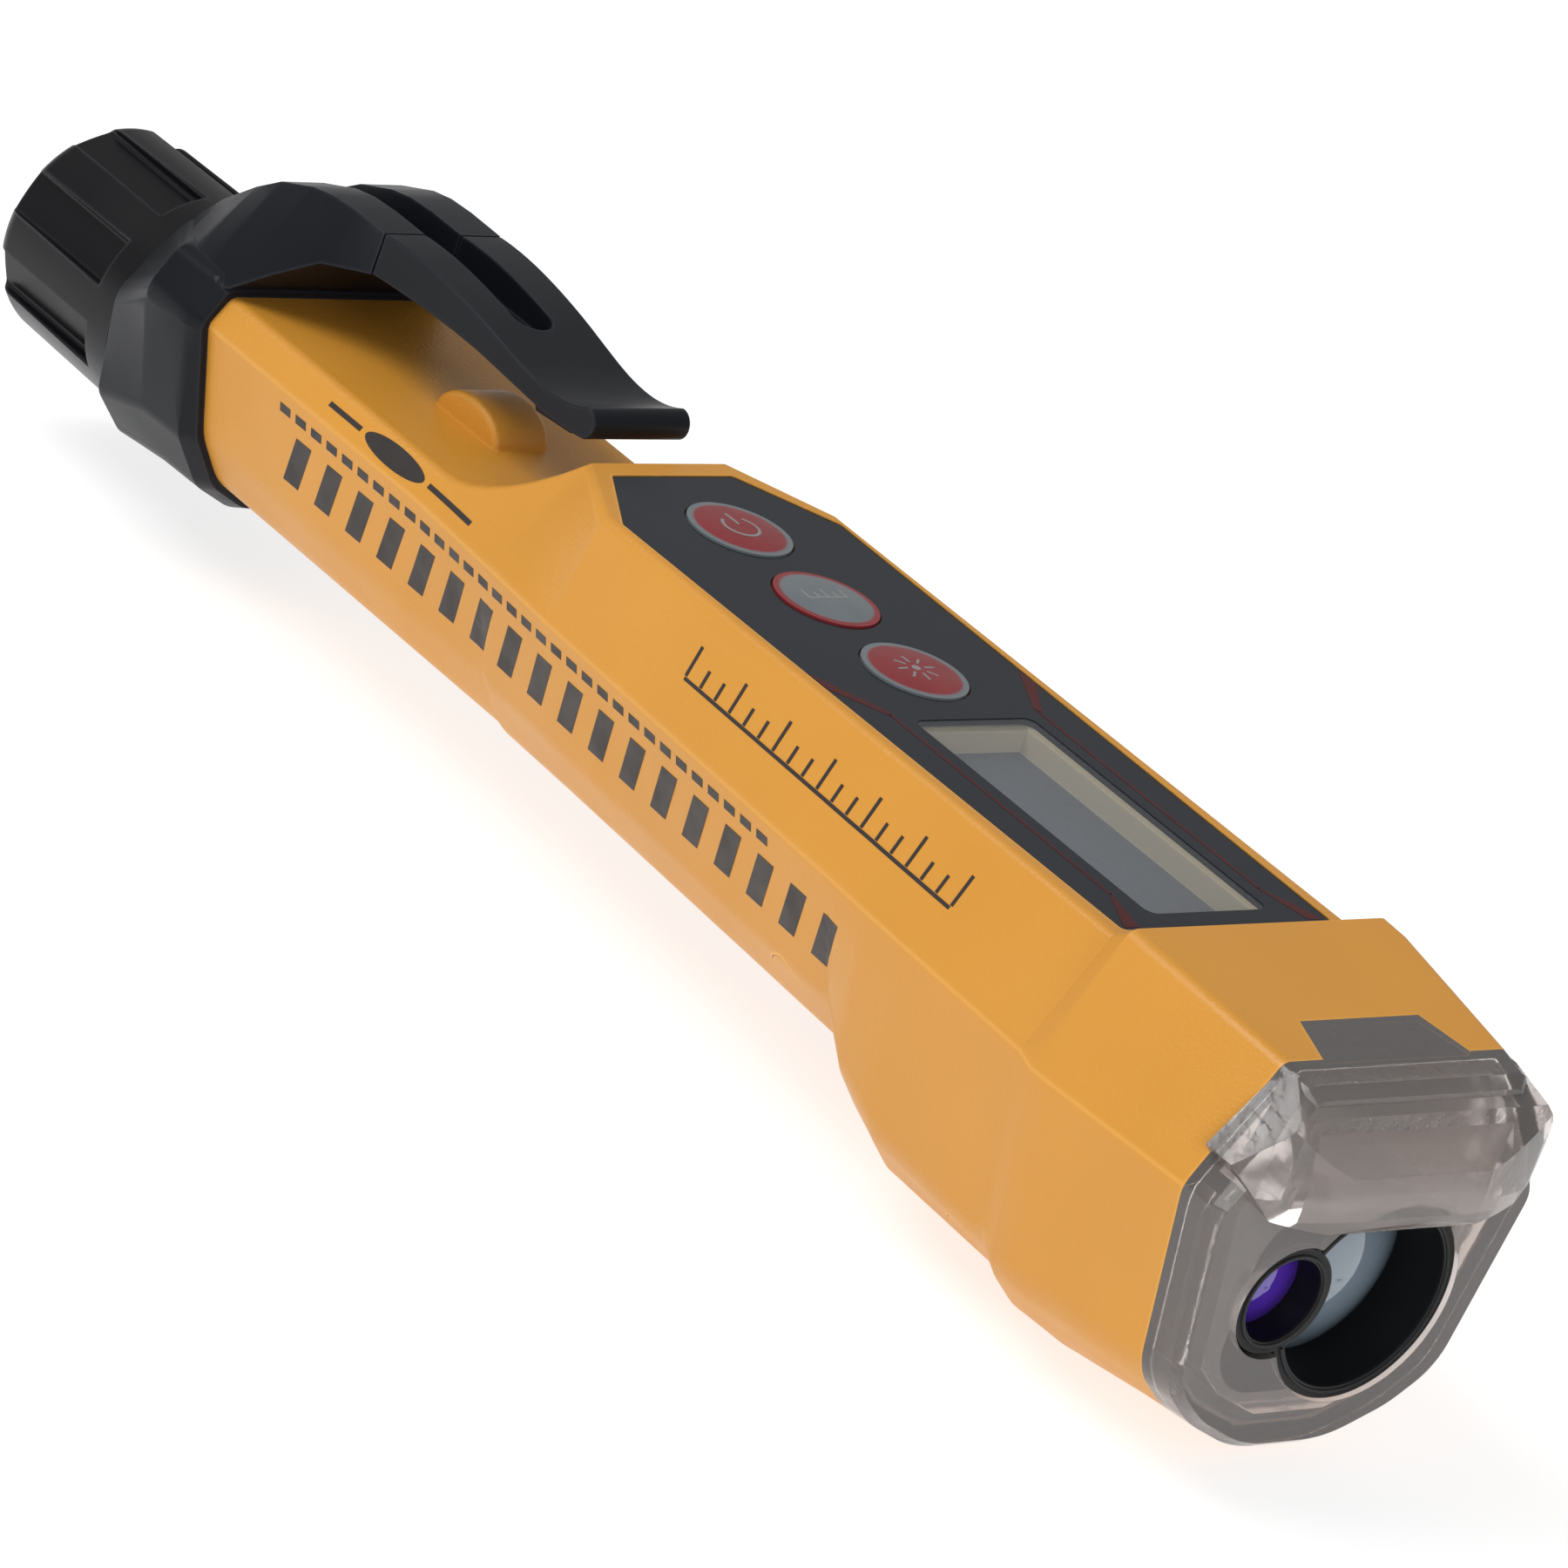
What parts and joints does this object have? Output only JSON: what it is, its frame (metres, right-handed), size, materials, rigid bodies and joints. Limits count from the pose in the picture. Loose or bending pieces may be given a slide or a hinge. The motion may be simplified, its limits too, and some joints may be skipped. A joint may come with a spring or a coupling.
{
  "type": "non contact voltage tester",
  "caption": "Pen-shaped non contact voltage tester with a display panel, press buttons, clear sensing tip with distance optics, pocket clip and screw battery cap.",
  "frame": {"origin": "under the middle of the tester, at the level of its lowest face", "axes": "+Y towards the screw cap, -Y towards the clear tip, +Z out of the display"},
  "size_m": [0.0378, 0.178, 0.0391],
  "materials": {
    "yellow_plastic": "satin moulded plastic with a fine grain",
    "black_plastic": "satin black moulded plastic",
    "black_gloss": "semi gloss black moulded plastic",
    "smoky_clear": "smoky clear polycarbonate",
    "violet_lens": "violet coated lens",
    "receiver_glass": "coated lens",
    "brass_can": "plated metal can",
    "contact_brass": "stamped strip",
    "clear_resin": "clear red resin",
    "dark_panel": "glossy dark label",
    "window_clear": "clear window",
    "cream_plastic": "cream plastic",
    "display_grey": "grey liquid crystal display",
    "seal_rubber": "soft rubber",
    "red_button": "red domed button with a grey ring",
    "grey_button": "grey domed button with a red ring",
    "board_green": "circuit board",
    "switch_steel": "stamped steel",
    "white_plastic": "natural nylon",
    "cell_jacket": "plain printed jacket",
    "screw_steel": "zinc plated steel",
    "spring_steel": "spring wire"
  },
  "bodies": {
    "root": {"upper_shell": "yellow_plastic", "lower_shell": "yellow_plastic", "shell_screws": "screw_steel", "screw_covers": "yellow_plastic", "clear_tip": "smoky_clear", "lens_holder": "black_plastic", "emitter_lens": "violet_lens", "receiver_lens": "receiver_glass", "laser_diode": "brass_can", "receiver_sensor": "brass_can", "sensing_antenna": "contact_brass", "tip_light": "clear_resin", "label_panel": "dark_panel", "display_window": "window_clear", "display_frame": "cream_plastic", "display_glass": "display_grey", "display_connector": "seal_rubber", "main_board": "board_green", "tactile_switches": "switch_steel", "buzzer": "black_plastic", "battery_tube": "white_plastic", "front_contact": "contact_brass", "battery_front": "cell_jacket", "battery_rear": "cell_jacket", "contact_strip": "contact_brass", "clip_collar": "black_plastic"},
    "power_button": {"power_button": "red_button"},
    "unit_button": {"unit_button": "grey_button"},
    "laser_button": {"laser_button": "red_button"},
    "clip_arm": {"pocket_clip": "black_plastic"},
    "cap_carrier": {"cap_seal": "seal_rubber", "cap_spring": "spring_steel"},
    "cap": {"battery_cap": "black_gloss", "cap_plate": "screw_steel"}
  },
  "joints": [
    {"name": "power_button_press", "type": "slide", "parent": "root", "child": "power_button", "axis": [0, 0, -1], "range_m": [0, 0.0004], "stiffness_N_per_m": 3000},
    {"name": "unit_button_press", "type": "slide", "parent": "root", "child": "unit_button", "axis": [0, 0, -1], "range_m": [0, 0.0004], "stiffness_N_per_m": 3000},
    {"name": "laser_button_press", "type": "slide", "parent": "root", "child": "laser_button", "axis": [0, 0, -1], "range_m": [0, 0.0004], "stiffness_N_per_m": 3000},
    {"name": "clip_flex", "type": "hinge", "parent": "root", "child": "clip_arm", "pos_m": [0, 0.046, 0.039], "axis": [-1, 0, 0], "range_deg": [0, 4], "stiffness_Nm_per_rad": 2.2},
    {"name": "cap_advance", "type": "slide", "parent": "root", "child": "cap_carrier", "axis": [0, 1, 0], "range_m": [0, 0.00599]},
    {"name": "cap_turn", "type": "hinge", "parent": "cap_carrier", "child": "cap", "pos_m": [0, 0.0703, 0.018], "axis": [0, 1, 0], "range_deg": [0, 1080]}
  ],
  "couplings": [
    {"joint": "cap_turn", "follows": "cap_advance", "rad_per_m": 3141.6}
  ]
}
